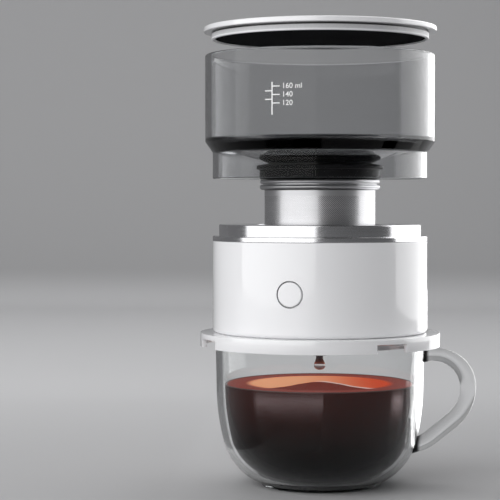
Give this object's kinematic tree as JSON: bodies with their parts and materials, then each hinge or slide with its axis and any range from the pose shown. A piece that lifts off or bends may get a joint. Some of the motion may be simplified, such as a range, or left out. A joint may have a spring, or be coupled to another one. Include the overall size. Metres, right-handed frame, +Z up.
{
  "type": "drip coffee maker",
  "caption": "Small drip coffee maker on a glass mug: clear lidded water tank, steel filter and white motor base with a push button, all lifting apart.",
  "frame": {"origin": "centre of the mug's foot, on the surface it stands on", "axes": "+Z up along the machine's axis, -Y to the front with the button, handle towards +X turned a little to +Y"},
  "size_m": [0.1085, 0.096, 0.1833],
  "materials": {
    "glass_clear": "clear polished glass",
    "white_gloss": "glossy white moulded plastic",
    "steel_brushed": "brushed stainless steel",
    "tank_smoke": "clear plastic with a light smoky tint",
    "silicone_black": "satin black silicone",
    "silicone_grey": "matte pale grey silicone",
    "frame_plastic": "matte dark grey moulded plastic",
    "gear_plastic": "natural white gear plastic",
    "brass_plain": "machined brass",
    "steel_plain": "plain bright steel",
    "cell_wrap": "silvery pouch film",
    "board_green": "green circuit board",
    "switch_black": "matte black plastic"
  },
  "bodies": {
    "mug": {"glass_mug": "glass_clear", "mug_handle": "glass_clear"},
    "base": {"seat_ring": "silicone_grey", "lower_cover": "white_gloss", "body_shell": "white_gloss", "top_ring": "steel_brushed", "inner_frame": "frame_plastic", "drip_funnel": "frame_plastic", "drip_nozzle": "silicone_black", "carrier_bush": "gear_plastic", "gear_motor": "steel_plain", "motor_bracket": "steel_plain", "motor_screws": "steel_plain", "case_screws": "steel_plain", "battery": "cell_wrap", "battery_holder": "frame_plastic", "control_board": "board_green", "board_holder": "frame_plastic", "tact_switch": "switch_black", "charge_board": "board_green", "charge_socket": "steel_plain"},
    "button": {"power_button": "white_gloss"},
    "carrier": {"filter_carrier": "gear_plastic", "grip_ring": "silicone_grey"},
    "pinion": {"motor_shaft": "steel_plain", "motor_pinion": "brass_plain"},
    "filter": {"filter_cup": "steel_brushed", "filter_mesh": "steel_brushed"},
    "tank": {"water_tank": "tank_smoke", "tank_seal": "silicone_black", "drip_plate": "frame_plastic"},
    "lid": {"lid_top": "white_gloss", "lid_plug": "white_gloss", "lid_liner": "silicone_black"}
  },
  "joints": [
    {"name": "base_lift", "type": "slide", "parent": "mug", "child": "base", "axis": [0, 0, 1], "range_m": [0, 0.06]},
    {"name": "button_press", "type": "slide", "parent": "base", "child": "button", "axis": [0, 1, 0], "range_m": [0, 0.0008], "stiffness_N_per_m": 900},
    {"name": "carrier_spin", "type": "hinge", "parent": "base", "child": "carrier", "pos_m": [0, 0, 0.09125], "axis": [0, 0, 1], "continuous": true},
    {"name": "pinion_spin", "type": "hinge", "parent": "base", "child": "pinion", "pos_m": [-0.033, 0, 0.09125], "axis": [0, 0, 1], "continuous": true},
    {"name": "tank_lift", "type": "slide", "parent": "base", "child": "tank", "axis": [0, 0, 1], "range_m": [-0.0228, 0.032]},
    {"name": "filter_lift", "type": "slide", "parent": "carrier", "child": "filter", "axis": [0, 0, 1], "range_m": [-0.0228, 0.032]},
    {"name": "lid_lift", "type": "slide", "parent": "tank", "child": "lid", "axis": [0, 0, 1], "range_m": [-0.0089, 0.03]}
  ],
  "couplings": [
    {"joint": "pinion_spin", "follows": "carrier_spin", "ratio": -5.6},
    {"joint": "filter_lift", "follows": "tank_lift", "ratio": 1}
  ]
}
